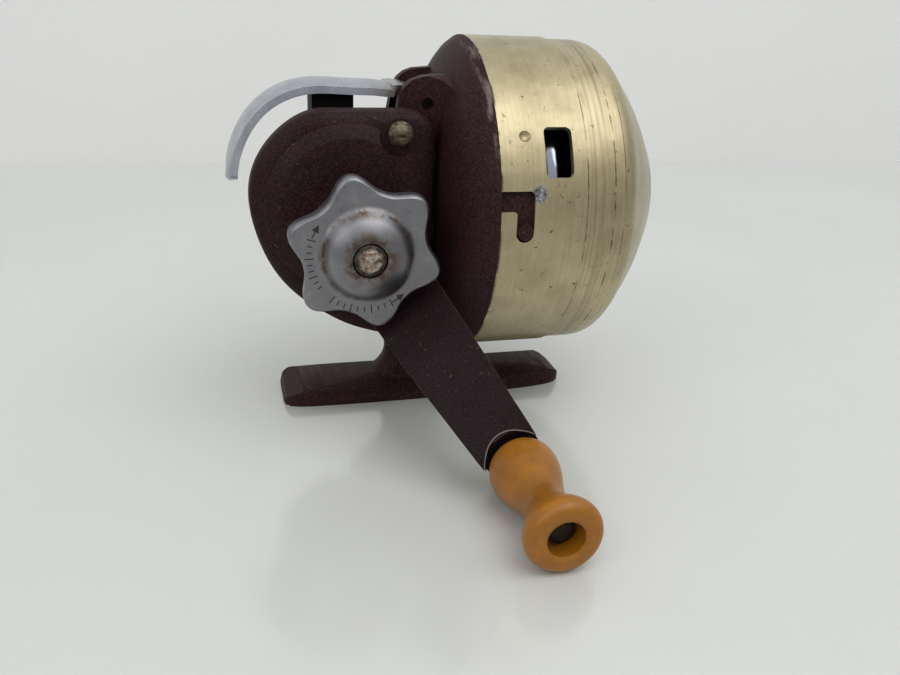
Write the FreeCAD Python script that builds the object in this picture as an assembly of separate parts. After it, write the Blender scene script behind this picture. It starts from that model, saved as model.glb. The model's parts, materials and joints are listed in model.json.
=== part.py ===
import FreeCAD, Part
import math
import os

# Closed-face fishing reel with a star drag wheel on the crank shaft.
# Units are millimetres. +X is forward (line exit), +Z is up, the crank is on -Y.
# The origin is the middle of the underside of the reel foot.

V = FreeCAD.Vector
os.makedirs("parts", exist_ok=True)

# ---------------------------------------------------------------- driving sizes
REEL_Z = 46.4           # height of the reel axis
COVER_R = 33.5          # outside radius of the front cover
RIM_X = 5.4             # rear edge of the front cover
SPIGOT_R = 32.45        # ring on the deck that the cover slides over
CRANK_X = -19.1         # crank shaft axis, which runs along Y
CRANK_Z = 41.8
SHAFT_R = 3.3           # crank shaft
PLATE_FRONT = -16.0     # outside face of the side plate
PLATE_SEAT = -12.5      # where the side plate meets the casting
CUP_R = 16.8            # gear housing, outside radius
PIVOT_X = -3.8          # thumb lever pivot
PIVOT_Z = 67.0
SLIDE_R = 1.8           # centre shaft
PINION_TEETH = 10
GEAR_TEETH = 34
KNOB_X = 6.1            # crank knob axis, which runs along Y
KNOB_Z = 7.15
RUN = 0.05              # radial clearance of running fits
PHI_STAR = 102.6        # direction of the first star lobe


# ---------------------------------------------------------------- helpers
def save(name, shape):
    """Write one closed solid as the node's STEP file."""
    if shape.ShapeType != "Solid":
        solids = sorted(shape.Solids, key=lambda s: -s.Volume)
        if not solids:
            solids = [Part.Solid(Part.Shell(shape.Faces))]
        shape = solids[0]
    if not shape.isValid():
        print("not valid:", name)
    shape.exportStep("parts/" + name + ".step")


def clean(shape):
    """Merge faces that continue each other, where that keeps one valid solid."""
    merged = shape.removeSplitter()
    if len(merged.Solids) == 1 and merged.isValid():
        return merged
    return shape


def edges(points):
    return Part.makePolygon([V(*p) for p in points] + [V(*points[0])])


def face(wire):
    return Part.Face(wire)


def revolve_x(profile, z=REEL_Z):
    """Turn a closed list of (x, r) points about the line y = 0 at height z."""
    wire = edges([(x, 0, z + r) for x, r in profile])
    return face(wire).revolve(V(0, 0, z), V(1, 0, 0), 360)


def revolve_y(profile, x=CRANK_X, z=CRANK_Z):
    """Turn a closed list of (y, r) points about the line through (x, z) along Y."""
    wire = edges([(x, y, z + r) for y, r in profile])
    return face(wire).revolve(V(x, 0, z), V(0, 1, 0), 360)


def rod_y(r, y0, y1, x=CRANK_X, z=CRANK_Z):
    low = min(y0, y1)
    return Part.makeCylinder(r, abs(y1 - y0), V(x, low, z), V(0, 1, 0))


def rod_x(r, x0, x1, y=0.0, z=REEL_Z):
    return Part.makeCylinder(r, x1 - x0, V(x0, y, z), V(1, 0, 0))


def box(x0, x1, y0, y1, z0, z1):
    return Part.makeBox(x1 - x0, y1 - y0, z1 - z0, V(x0, y0, z0))


def prism_y(points, y0, y1):
    """Extrude a closed XZ polygon from y0 to y1."""
    wire = edges([(x, y0, z) for x, z in points])
    return face(wire).extrude(V(0, y1 - y0, 0))


def smooth(points, samples=60):
    """Points along a smooth open curve through the given points."""
    curve = Part.BSplineCurve()
    curve.interpolate([V(p[0], p[1], 0) for p in points])
    found = curve.discretize(samples)
    return [(p.x, p.y) for p in found]


def turned(shape, angle, centre, axis):
    copy = shape.copy()
    copy.rotate(centre, axis, angle)
    return copy


# ---------------------------------------------------------------- side plate outline
def plate_outline_edges(y):
    """The four edges of the side plate's outline at depth y, clockwise from the top left."""
    pts = [(-24.0, 66.3), (-8.4, 66.4), (-5.2, 65.2), (-3.2, 61.8), (-2.6, 24.0), (-2.9, 21.9),
           (-4.2, 20.1), (-6.4, 19.1), (-9.4, 18.9), (-14.9, 20.0), (-20.5, 22.0), (-25.7, 25.0),
           (-30.5, 28.6), (-34.6, 33.2), (-37.4, 38.4), (-39.2, 43.9), (-39.9, 49.5), (-38.6, 55.6),
           (-35.4, 60.6), (-31.4, 64.1), (-27.6, 65.9)]
    top = Part.makeLine(V(pts[0][0], y, pts[0][1]), V(pts[1][0], y, pts[1][1]))
    c1 = Part.BSplineCurve()
    c1.interpolate([V(x, y, z) for x, z in pts[1:4]], InitialTangent=V(1, 0, 0), FinalTangent=V(0.02, 0, -1))
    side = Part.makeLine(V(pts[3][0], y, pts[3][1]), V(pts[4][0], y, pts[4][1]))
    c2 = Part.BSplineCurve()
    ends = [V(x, y, z) for x, z in pts[4:]] + [V(pts[0][0], y, pts[0][1])]
    c2.interpolate(ends)
    return [top, c1.toShape(), side, c2.toShape()]


def plate_ring(y, inset):
    """The outline as one smooth closed curve at depth y, moved in by inset."""
    raw = []
    for edge, count in zip(plate_outline_edges(0.0), (5, 7, 8, 46)):
        raw += edge.discretize(count)[:-1]
    moved = []
    for k, p in enumerate(raw):
        t = raw[(k + 1) % len(raw)] - raw[k - 1]
        q = p + V(t.z, 0, -t.x).normalize() * inset
        if min((q - other).Length for other in raw) > inset * 0.97 - 0.001:
            moved.append(V(q.x, y, q.z))
    c = Part.BSplineCurve()
    c.interpolate(moved, PeriodicFlag=True)
    return Part.Wire(c.toShape())


def plate_prism(y0, y1, inset=0.0):
    return Part.Face(plate_ring(y0, inset)).extrude(V(0, y1 - y0, 0))


SCREWS = [(-10.6, 62.2), (-7.6, 24.6)]

# ---------------------------------------------------------------- front cover
cover_outer = [(28.6, 33.1), (31.2, 32.9), (33.3, 31.9), (35.4, 29.6), (38.0, 26.6), (41.0, 22.6),
               (44.0, 18.0), (46.8, 12.6), (48.4, 8.0), (49.0, 5.4)]
cover_inner = [(28.2, 32.1), (30.8, 31.9), (32.6, 31.1), (34.6, 28.9), (37.2, 25.9), (40.1, 21.9),
               (43.0, 17.4), (45.7, 12.2), (47.2, 7.9), (47.9, 5.4)]


def revolve_smooth(straight_out, curve_out, curve_in, straight_in):
    """Closed profile: straight points, a curve, then back along the inside."""
    def vec(p):
        return V(p[0], 0, REEL_Z + p[1])

    parts = []
    run = [vec(p) for p in straight_out]
    for a, b in zip(run[:-1], run[1:]):
        parts.append(Part.makeLine(a, b))
    co = Part.BSplineCurve()
    co.interpolate([vec(p) for p in curve_out], InitialTangent=V(1, 0, 0), FinalTangent=V(0.2, 0, -1))
    parts.append(co.toShape())
    parts.append(Part.makeLine(vec(curve_out[-1]), vec(curve_in[-1])))
    back = list(reversed(curve_in))
    ci = Part.BSplineCurve()
    ci.interpolate([vec(p) for p in back], InitialTangent=V(-0.2, 0, 1), FinalTangent=V(-1, 0, 0))
    parts.append(ci.toShape())
    run = [vec(p) for p in straight_in]
    for a, b in zip(run[:-1], run[1:]):
        parts.append(Part.makeLine(a, b))
    return face(Part.Wire(parts)).revolve(V(0, 0, REEL_Z), V(1, 0, 0), 360)


def near_angle(angle, r, x):
    """Point on the reel at an angle above the level near side (-Y)."""
    a = math.radians(angle)
    return V(x, -r * math.cos(a), REEL_Z + r * math.sin(a))


def arc_block(x0, x1, r0, r1, a0, a1):
    """Piece of a thick tube: x0..x1, radii r0..r1, angles a0..a1 above the near side."""
    wire = edges([(x0, -r0, REEL_Z), (x1, -r0, REEL_Z), (x1, -r1, REEL_Z), (x0, -r1, REEL_Z)])
    start = face(wire)
    start.rotate(V(0, 0, REEL_Z), V(1, 0, 0), -a0)
    return start.revolve(V(0, 0, REEL_Z), V(1, 0, 0), -(a1 - a0))


def radial_pin(r, angle, x, r0, r1):
    a = math.radians(angle)
    d = V(0, -math.cos(a), math.sin(a))
    return Part.makeCylinder(r, r1 - r0, V(x, 0, REEL_Z) + d * r0, d)


cover = revolve_smooth(
    [(RIM_X, SPIGOT_R + RUN), (RIM_X, COVER_R), (22.7, COVER_R), (22.9, COVER_R - 0.4), cover_outer[0]],
    cover_outer, cover_inner,
    [cover_inner[0], (14.0, COVER_R - 1.2), (13.6, SPIGOT_R + RUN), (RIM_X, SPIGOT_R + RUN)])
window = arc_block(15.5, 18.7, 30.0, 35.0, 18.1, 34.8)
window = window.fuse(arc_block(14.3, 19.9, 30.0, 35.0, 20.1, 32.8))
for wx in (15.5, 18.7):
    for wa in (20.1, 32.8):
        window = window.fuse(radial_pin(1.2, wa, wx, 30.0, 35.0))
cover = cover.cut(window)
for turn in (0, 180):
    slot = arc_block(5.0, 11.05, 30.0, 35.0, 7.4, 13.9)
    slot = slot.fuse(arc_block(5.0, 12.05, 30.0, 35.0, 7.4, 12.19))
    slot = slot.fuse(radial_pin(1.0, 12.19, 11.05, 30.0, 35.0))
    slot = slot.fuse(arc_block(8.55, 12.05, 30.0, 35.0, 0.2, 8.0))
    slot = slot.fuse(radial_pin(1.75, 0.2, 10.3, 30.0, 35.0))
    tongue_corner = arc_block(7.85, 8.6, 30.0, 35.0, 6.2, 7.45)
    slot = slot.fuse(tongue_corner.cut(radial_pin(0.7, 6.2, 7.85, 29.0, 36.0)))
    cover = cover.cut(turned(slot, turn, V(0, 0, REEL_Z), V(1, 0, 0)))
cover = cover.cut(Part.makeSphere(1.5, near_angle(31.6, COVER_R + 0.95, 10.5)))
save("front_cover", cover)

guide = revolve_x([(46.9, 3.4), (47.4, 2.9), (50.4, 2.9), (50.9, 3.4), (50.9, 5.2), (50.4, 5.9),
                   (49.4, 6.1), (49.05, 5.4), (46.9, 5.4)])
save("line_guide_ring", guide)

pinch = revolve_x([(28.4, 30.6), (28.4, 32.05), (30.6, 31.7), (32.4, 30.5), (32.0, 29.4), (30.6, 30.3)])
save("pinch_ring", pinch)

# ---------------------------------------------------------------- body casting
dish_out = [(RIM_X, 33.5), (3.9, 32.4), (2.4, 30.6), (0.9, 28.3), (-0.3, 25.6), (-1.3, 22.0),
            (-2.0, 17.5), (-2.4, 12.0), (-2.5, 0.0)]
dish_in = [(-0.5, 0.0), (-0.4, 12.0), (0.0, 17.5), (0.8, 22.0), (1.8, 25.0), (3.2, 28.0), (4.6, 30.7)]
dish = revolve_x([(RIM_X, SPIGOT_R), (RIM_X, 33.5)] + dish_out[1:] + dish_in
                 + [(13.4, 30.7), (13.4, 32.2), (13.15, SPIGOT_R)])
for turn in (0.7, 180.7):
    dish = dish.fuse(radial_pin(1.6, turn, 10.3, 31.0, 33.9))

cup_out = [(-12.5, CUP_R), (-1.0, CUP_R), (3.0, 16.0), (7.0, 14.0), (10.5, 11.0), (13.0, 7.4),
           (14.4, 3.6), (14.8, 0.0)]
cup_in = [(-12.6, 15.3), (-1.4, 15.3), (2.4, 14.5), (6.1, 12.8), (9.3, 10.1), (11.5, 6.9), (12.7, 3.4),
          (13.1, 0.0)]
cup = revolve_y([(-12.5, 0.0)] + cup_out)
cup_hole = revolve_y([(-12.6, 0.0)] + cup_in)
rim = plate_prism(PLATE_SEAT, -10.4)

neck = box(-16.0, -1.6, -11.0, 10.0, 27.0, 58.0)
neck = neck.makeFillet(3.0, [e for e in neck.Edges if abs(e.Vertexes[0].Z - e.Vertexes[1].Z) < 0.1
                             and abs(e.Vertexes[0].Y - e.Vertexes[1].Y) < 0.1 and e.Vertexes[0].Y > 0])
bracket = box(-10.6, 0.4, -8.6, 8.6, 52.0, 63.6)
near_ear = prism_y([(3.0, 60.0), (-10.6, 60.0), (-9.4, 68.4), (-8.4, 70.2), (-6.9, 71.5), (-4.6, 72.3),
                    (-1.0, 72.7), (3.0, 72.4)], -16.0, -6.0)
ear_plan = [(-10.7, -6.0), (-10.7, -8.6), (-6.4, -8.8), (-3.4, -9.5), (-1.2, -11.0), (0.2, -13.2),
            (1.0, -15.8), (1.2, -6.0)]
near_ear = near_ear.common(face(edges([(x, y, 59.0) for x, y in ear_plan])).extrude(V(0, 0, 16)))
near_ear = near_ear.common(rod_x(27.6, -12.0, 4.0))
far_ear = prism_y([(0.6, 60.0), (-9.6, 60.0), (-8.0, 68.4), (-6.8, 70.4), (-5.4, 71.6), (-3.6, 72.3),
                   (0.6, 72.7)], 6.0, 8.6)

foot_side = smooth([(-34.0, 0.6), (-33.8, 1.6), (-32.9, 2.4), (-30.0, 3.1), (-20.0, 4.5), (-8.0, 5.3),
                    (6.0, 5.4), (18.0, 5.1), (27.0, 4.5), (31.6, 3.2), (33.8, 0.9)], 40)
foot_a = prism_y([(-33.8, 0.0)] + foot_side + [(33.9, 0.0)], -10, 10)
foot_top = smooth([(-34.0, 0.0), (-33.9, -5.2), (-33.0, -7.1), (-31.0, -7.9), (-26.0, -8.4), (-8.0, -8.6),
                   (8.0, -8.2), (20.0, -7.2), (28.0, -6.2), (32.0, -4.6), (33.9, 0.0), (32.0, 4.6),
                   (28.0, 6.2), (20.0, 7.2), (8.0, 8.2), (-8.0, 8.6), (-26.0, 8.4), (-31.0, 7.9),
                   (-33.0, 7.1), (-33.9, 5.2), (-34.0, 0.0)], 100)
foot_b = face(edges([(x, y, -1.0) for x, y in foot_top[:-1]])).extrude(V(0, 0, 9))
crown = smooth([(-8.8, 2.2), (-6.5, 3.5), (-3.4, 4.9), (0.0, 5.4), (3.4, 4.9), (6.5, 3.5), (8.8, 2.2)], 30)
foot_c = face(edges([(-34, y, z) for y, z in [(-8.8, 0.0)] + crown + [(8.8, 0.0)]])).extrude(V(68, 0, 0))
foot = foot_a.common(foot_b).common(foot_c)


def oval(x0, x1, half, z):
    mid = (x0 + x1) / 2.0
    pts = []
    for k in range(24):
        a = 2 * math.pi * k / 24
        ca = math.cos(a)
        sa = math.sin(a)
        px = mid + (x1 - x0) / 2.0 * math.copysign(abs(ca) ** 0.7, ca)
        py = half * math.copysign(abs(sa) ** 0.7, sa)
        pts.append(V(px, py, z))
    c = Part.BSplineCurve()
    c.interpolate(pts, PeriodicFlag=True)
    return Part.Wire(c.toShape())


stem = Part.makeLoft([oval(-14.6, 8.0, 5.8, 3.6), oval(-11.4, 4.6, 4.2, 6.6), oval(-10.0, 3.6, 3.6, 9.6),
                      oval(-10.4, 3.6, 3.8, 12.8), oval(-13.6, 3.8, 5.2, 17.4), oval(-18.0, 3.4, 8.0, 24.0)],
                     True, False)

body = dish.fuse([cup, rim, neck, bracket, near_ear, far_ear, foot, stem])
hub = rod_x(6.5, -4.9, 9.3)
body = body.fuse(hub)
rim_hole = plate_prism(PLATE_SEAT - 0.1, -11.0, 1.9)
body = body.cut(cup_hole)
body = body.cut(rim_hole)
inside_deck = revolve_x([(-0.5, 6.5), (-0.4, 12.0), (0.0, 17.5), (0.8, 22.0), (1.8, 25.0), (3.2, 28.0),
                         (4.6, 30.7), (20.0, 30.7), (20.0, 6.5)])
body = body.cut(inside_deck)
body = body.cut(rod_x(4.6, -4.9, 9.5))
body = body.cut(rod_x(4.9, -13.0, -4.9))
body = body.cut(box(-28.4, -14.0, -4.9, 4.9, 50.0, 64.0))
body = body.cut(box(-9.0, 2.0, -6.0, 6.0, 63.6, 75.0).common(box(-12, 3.0, -6.0, 6.0, 63.6, 70.4)))
body = body.cut(box(-12.0, -0.9, -6.0, 6.0, 63.6, 80.0))
body = body.cut(rod_y(1.2, -14, 9, PIVOT_X, PIVOT_Z))
for sx, sz in SCREWS:
    boss = rod_y(2.6, -12.5, -9.0, sx, sz)
    body = body.fuse(boss)
    body = body.cut(rod_y(1.2, -12.6, -9.6, sx, sz))
body = clean(body)
save("body_casting", body)

# ---------------------------------------------------------------- side plate
plate = Part.Face(plate_ring(PLATE_SEAT, 0.0)).extrude(V(0, -1.3, 0))
levels = [(-13.8, 0.0), (-14.8, 0.35), (-15.5, 1.1), (PLATE_FRONT, 2.4)]
for (ya, ia), (yb, ib) in zip(levels[:-1], levels[1:]):
    plate = plate.fuse(Part.makeLoft([plate_ring(ya, ia), plate_ring(yb, ib)], True, True))
ridge = revolve_y([(-15.0, 0.0), (-15.0, 17.0), (-16.0, 17.0), (-16.5, 16.6), (-17.6, 14.6),
                   (-17.9, 13.9), (-17.9, 0.0)], -20.6, 47.2)
ridge = ridge.common(plate_prism(PLATE_SEAT, -25.0, 2.2))
ridge = ridge.cut(revolve_y([(-16.0, 0.0), (-16.0, 4.0), (-19.0, 4.8),
                             (-19.0, 0.0)], SCREWS[0][0], SCREWS[0][1]))
boss = revolve_y([(-15.0, 0.0), (-15.0, 10.4), (-17.9, 10.4), (-18.6, 9.6), (-19.4, 8.8), (-19.4, 0.0)])
plate = plate.fuse([ridge, boss])
plate = plate.cut(plate_prism(PLATE_SEAT + 0.1, -14.4, 1.7))
plate = plate.cut(revolve_y([(-14.0, 0.0), (-14.0, 15.4), (-15.0, 14.8), (-16.3, 13.0),
                             (-16.3, 0.0)], -20.6, 47.2)
                  .common(plate_prism(PLATE_SEAT, -25.0, 3.9)))
plate = plate.fuse(rod_y(6.6, -19.4, -13.0))
for sx, sz in SCREWS:
    plate = plate.fuse(rod_y(2.9, -15.9, -12.5, sx, sz))
    plate = plate.cut(rod_y(1.35, -20, -12.0, sx, sz))
plate = plate.cut(rod_y(5.0, -20, -12))
plate = clean(plate)
save("side_plate", plate)

for k, (sx, sz) in enumerate(SCREWS):
    head = revolve_y([(-16.0, 0.0), (-16.0, 2.55), (-16.9, 2.5), (-17.7, 1.9), (-18.1, 1.0),
                      (-18.2, 0.0)], sx, sz)
    head = head.cut(box(sx - 3, sx + 3, -19, -17.3, sz - 0.35, sz + 0.35))
    screw = head.fuse(rod_y(1.2, -16.0, -9.7, sx, sz))
    save("side_plate_screw_" + str(k + 1), screw)

save("crank_bushing", rod_y(5.0, -19.7, -12.2).cut(rod_y(SHAFT_R + RUN, -20, -12)))
save("pinion_bushing", rod_x(4.6, -4.7, 9.3).cut(rod_x(3.2 + RUN, -5, 10)))

# ---------------------------------------------------------------- spool and line
spool = revolve_x([(1.6, 6.5), (1.6, 23.4), (2.1, 24.4), (2.6, 24.4), (3.0, 23.8), (3.0, 16.0), (8.8, 16.0),
                   (8.8, 20.4), (9.1, 20.8), (9.5, 20.8), (9.8, 20.4), (9.8, 14.4), (4.2, 14.4), (4.2, 8.2),
                   (8.2, 8.2), (8.2, 6.5)])
save("spool", spool)
line = revolve_x([(3.0, 16.0), (3.0, 21.2), (4.2, 21.7), (7.6, 20.4), (8.8, 19.2), (8.8, 16.0)])
save("line_winding", line)
save("spool_retaining_ring", revolve_x([(8.3, 6.5), (8.3, 7.9), (9.1, 7.9), (9.1, 6.5)]))

# ---------------------------------------------------------------- pinion
tooth_len0 = CRANK_X + 9.9
tooth_len1 = CRANK_X + 13.9
pinion = rod_x(2.62, tooth_len0, tooth_len1)
for k in range(PINION_TEETH):
    profile = [(-0.62, 2.4), (-0.42, 3.3), (-0.2, 4.0), (0.2, 4.0), (0.42, 3.3), (0.62, 2.4)]
    pts = [(tooth_len0, u, REEL_Z + w) for u, w in profile]
    tooth = face(edges(pts)).extrude(V(tooth_len1 - tooth_len0, 0, 0))
    pinion = pinion.fuse(turned(tooth, 360.0 / PINION_TEETH * k, V(0, 0, REEL_Z), V(1, 0, 0)))
pinion = pinion.fuse(rod_x(3.2, tooth_len1, 10.9))
pinion = pinion.cut(rod_x(2.9, 9.6, 10.2).cut(rod_x(2.5, 9.5, 10.3)).common(rod_x(2.6, 9, 11)))
groove = rod_x(4.0, 9.6, 10.2).cut(rod_x(2.6, 9.5, 10.3))
pinion = pinion.cut(groove)
pinion = pinion.cut(rod_x(SLIDE_R + RUN, -12, 14))
pinion = clean(pinion)
save("pinion_gear", pinion)
clip = rod_x(4.3, 9.6, 10.2).cut(rod_x(2.6, 9.5, 10.3)).cut(box(9, 11, -1.3, 1.3, REEL_Z - 6, REEL_Z - 1))
save("pinion_clip", clip)

# ---------------------------------------------------------------- crank group
# the crown gear's bars stand on its face and mesh with the near side of the pinion, module 0.7
shaft = revolve_y([(-3.1, 0.0), (-3.1, 2.2), (-3.5, 2.6), (-9.9, 2.6), (-9.9, 4.6), (-10.9, 4.6),
                   (-10.9, SHAFT_R), (-31.7, SHAFT_R), (-32.3, 3.0), (-32.7, 2.3), (-33.1, 1.9),
                   (-33.3, 0.0)])
save("crank_shaft", shaft)

gear = revolve_y([(-4.6, 2.6), (-4.6, 14.0), (-6.2, 14.0), (-6.2, 5.2), (-6.6, 5.2), (-6.6, 2.6)])
for k in range(GEAR_TEETH):
    bar = face(edges([(CRANK_X + 10.7, -4.7, REEL_Z + 0.52), (CRANK_X + 10.7, -3.0, REEL_Z + 0.24),
                      (CRANK_X + 10.7, -3.0, REEL_Z - 0.24), (CRANK_X + 10.7, -4.7, REEL_Z - 0.52)]))
    bar = bar.extrude(V(2.35, 0, 0))
    step = 360.0 / GEAR_TEETH
    gear = gear.fuse(turned(bar, step * k, V(CRANK_X, 0, CRANK_Z), V(0, 1, 0)))
ring = revolve_y([(-2.9, 0.0), (-2.9, 14.0), (-7.0, 14.0), (-7.0, 0.0)])
gear = clean(gear.common(ring))
save("drive_gear", gear)

save("drag_washer_fibre", rod_y(10.5, -7.2, -6.6).cut(rod_y(2.6, -8, -6)))
save("drag_washer_steel", rod_y(10.2, -7.8, -7.2).cut(rod_y(2.6, -8, -7)))
ratchet = rod_y(8.2, -9.4, -7.8)
for k in range(12):
    saw = prism_y([(CRANK_X - 1.9, CRANK_Z + 7.6), (CRANK_X + 1.6, CRANK_Z + 7.6),
                   (CRANK_X + 1.6, CRANK_Z + 9.6)], -9.4, -7.8)
    ratchet = ratchet.fuse(turned(saw, 30.0 * k, V(CRANK_X, 0, CRANK_Z), V(0, 1, 0)))
ratchet = clean(ratchet.cut(rod_y(2.6, -10, -7)))
save("ratchet_wheel", ratchet)

# crank arm: flat hub, sloping web, flat pad under the knob
reach = math.hypot(KNOB_X - CRANK_X, KNOB_Z - CRANK_Z)
dirx = (KNOB_X - CRANK_X) / reach
dirz = (KNOB_Z - CRANK_Z) / reach


def arm_point(s, p, y):
    return (CRANK_X + dirx * s - dirz * p, y, CRANK_Z + dirz * s + dirx * p)


# the web bends out steeply first, so that its back clears the bowl and the cover as it goes round
arm_side = [(-11.0, -20.0), (-11.0, -22.2), (8.4, -22.2), (12.4, -22.8), (15.3, -24.9), (18.6, -30.6),
            (21.5, -34.9), (24.5, -38.0), (37.2, -51.2), (reach + 9, -60.0), (reach + 9, -46.6),
            (37.4, -46.6), (35.6, -46.0), (24.5, -35.3), (21.5, -32.5), (20.0, -30.6), (18.6, -28.5),
            (15.2, -22.9), (13.2, -20.6), (12.0, -20.0)]
arm = face(edges([arm_point(s, -12.0, y) for s, y in arm_side])).extrude(
    V(-dirz * 24.0, 0, dirx * 24.0))
outline = []
for a in range(90, 271, 10):
    outline.append((9.0 * math.cos(math.radians(a)), 9.0 * math.sin(math.radians(a))))
for a in range(-80, 81, 10):
    outline.append((reach + 0.9 + 5.5 * math.cos(math.radians(a)), 5.5 * math.sin(math.radians(a))))
arm = arm.common(face(edges([arm_point(s, p, -15.0) for s, p in outline])).extrude(V(0, -50, 0)))
arm = arm.cut(rod_y(6.1, -62.0, -48.8, KNOB_X, KNOB_Z))
arm = arm.cut(rod_y(6.9, -62.0, -50.2, KNOB_X, KNOB_Z))
arm = arm.cut(rod_y(SHAFT_R, -30, -15))
arm = arm.cut(rod_y(1.6, -60, -40, KNOB_X, KNOB_Z))
arm = clean(arm)
save("crank_arm", arm)

washer = revolve_y([(-22.2, 3.35), (-22.2, 6.2), (-22.5, 6.2), (-23.0, 3.35)])
save("star_spring_washer", washer)

# star wheel: six rounded lobes around a domed boss
star_pts = []
for k in range(144):
    a = 2.0 * math.pi * k / 144
    wave = 0.5 + 0.5 * math.cos(6 * (a - math.radians(PHI_STAR)))
    r = 12.1 + 3.1 * wave ** 1.35
    star_pts.append((CRANK_X + r * math.cos(a), CRANK_Z + r * math.sin(a)))


def star_wire(y, scale):
    c = Part.BSplineCurve()
    pts = []
    for x, z in star_pts:
        pts.append(V(CRANK_X + (x - CRANK_X) * scale, y, CRANK_Z + (z - CRANK_Z) * scale))
    c.interpolate(pts, PeriodicFlag=True)
    return Part.Wire(c.toShape())


# both rims of the lobes are rounded in steps, (y, scale) for each step
star = Part.Face(star_wire(-25.7, 1.0)).extrude(V(0, -1.6, 0))
star_rounding = [(-25.7, 1.0), (-25.4, 0.985), (-25.2, 0.955)], [
    (-27.3, 1.0), (-27.9, 0.992), (-28.3, 0.975), (-28.55, 0.95), (-28.6, 0.915)]
for levels in star_rounding:
    for low_level, high_level in zip(levels, levels[1:]):
        star = star.fuse(Part.makeLoft([star_wire(*low_level), star_wire(*high_level)], True, False))
star_dome = smooth([(-28.6, 9.9), (-28.9, 9.0), (-29.6, 8.3), (-30.7, 7.3), (-31.6, 6.0), (-32.2, 4.7),
                    (-32.4, 3.9)], 20)
star = star.fuse(rod_y(7.6, -25.6, -22.9))
star = star.fuse(revolve_y([(-28.0, 0.0), (-28.0, 9.9)] + star_dome + [(-32.2, 3.5), (-32.0, 0.0)]))
star = star.cut(rod_y(SHAFT_R + RUN, -34, -22))
star = star.cut(rod_y(6.5, -23.1, -22.0))
star = clean(star)
save("star_drag_wheel", star)

# ---------------------------------------------------------------- knob
knob_curve = smooth([(-51.4, 5.0), (-51.7, 5.8), (-52.9, 6.35), (-55.1, 6.5), (-57.8, 6.1), (-61.2, 5.05),
                     (-64.6, 4.2), (-67.4, 4.4), (-70.0, 5.6), (-72.0, 6.6), (-73.6, 7.0), (-75.0, 6.6),
                     (-75.7, 5.5)], 48)
knob = revolve_y([(-51.4, 1.65)] + knob_curve + [(-75.7, 4.0), (-75.3, 3.4), (-71.6, 3.4),
                                                 (-71.6, 1.65)], KNOB_X, KNOB_Z)
save("crank_knob", knob)
spacer = rod_y(3.4, -51.3, -48.8, KNOB_X, KNOB_Z).cut(rod_y(1.6, -52, -48, KNOB_X, KNOB_Z))
save("knob_spacer", spacer)
rivet = revolve_y([(-45.9, 0.0), (-45.9, 2.0), (-46.6, 2.6), (-46.6, 1.6), (-71.8, 1.6), (-71.8, 2.9),
                   (-72.5, 2.7), (-73.0, 1.8), (-73.2, 0.0)], KNOB_X, KNOB_Z)
save("knob_rivet", rivet)

# ---------------------------------------------------------------- thumb lever
lever_top = [(-10.0, 69.4), (-14.0, 69.65), (-20.0, 69.8), (-26.0, 69.9), (-29.6, 69.3), (-33.4, 67.8),
             (-36.6, 65.6), (-39.4, 62.4), (-41.4, 58.8), (-42.6, 55.0), (-43.1, 51.0)]


def lever_strip(points, half, thick, rise):
    """Crowned strip through sections along a smooth XZ path."""
    c = Part.BSplineCurve()
    c.interpolate([V(x, 0, z) for x, z in points])
    rings = []
    count = 12
    for k in range(count + 1):
        u = c.parameterAtDistance(c.length() * k / count, c.FirstParameter)
        p = c.value(u)
        t = c.tangent(u)[0]
        n = V(-t.z, 0, t.x)
        if n.x * 0.4 - n.z > 0:
            n = n * -1.0
        e = V(0, 1, 0)
        w = half if k < count - 1 else half - 0.9 * (k - count + 2)
        top = Part.Arc(p - e * w, p + n * rise, p + e * w).toShape()
        s2 = Part.makeLine(p + e * w, p + e * w - n * thick)
        low = Part.Arc(p + e * w - n * thick, p + n * (rise - thick), p - e * w - n * thick).toShape()
        s1 = Part.makeLine(p - e * w - n * thick, p - e * w)
        rings.append(Part.Wire([top, s2, low, s1]))
    return Part.makeLoft(rings, True, False)


lever = lever_strip(lever_top, 7.0, 1.5, 0.9)
tongue = prism_y([(-9.0, 70.2), (-10.4, 70.1), (-10.4, 68.3), (-8.2, 68.1), (-5.9, 65.6), (-3.8, 64.7),
                  (-1.9, 65.6), (-1.4, 67.0), (-1.9, 68.6), (-3.8, 69.6)], -5.7, 5.7)
lever = lever.fuse(tongue)
lever = lever.cut(rod_y(1.2 + RUN, -9, 9, PIVOT_X, PIVOT_Z))
lever = clean(lever)
save("thumb_lever", lever)
save("lever_pin", rod_y(1.2, -7.4, 8.3, PIVOT_X, PIVOT_Z))

push = box(-26.4, -18.0, -4.2, 4.2, 61.4, 71.0)
push = push.fuse(box(-26.0, -22.0, -2.4, 2.4, 46.0, 61.6))
inner_side = prism_y([(-27, 45), (-17, 45), (-17, 69.1), (-27, 69.1)], -5, 5)
push = push.common(inner_side).cut(lever)
solids = sorted(push.Solids, key=lambda s: -s.Volume)
push = solids[0]
save("push_block", push)

# ---------------------------------------------------------------- centre shaft group
cshaft = revolve_x([(-21.8, 0.0), (-21.4, 1.2), (-20.8, SLIDE_R), (29.6, SLIDE_R), (30.0, 1.4), (30.0, 0.0)])
save("centre_shaft", cshaft)
save("shaft_collar", rod_x(2.7, -19.6, -18.1).cut(rod_x(SLIDE_R, -20, -18)))

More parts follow.
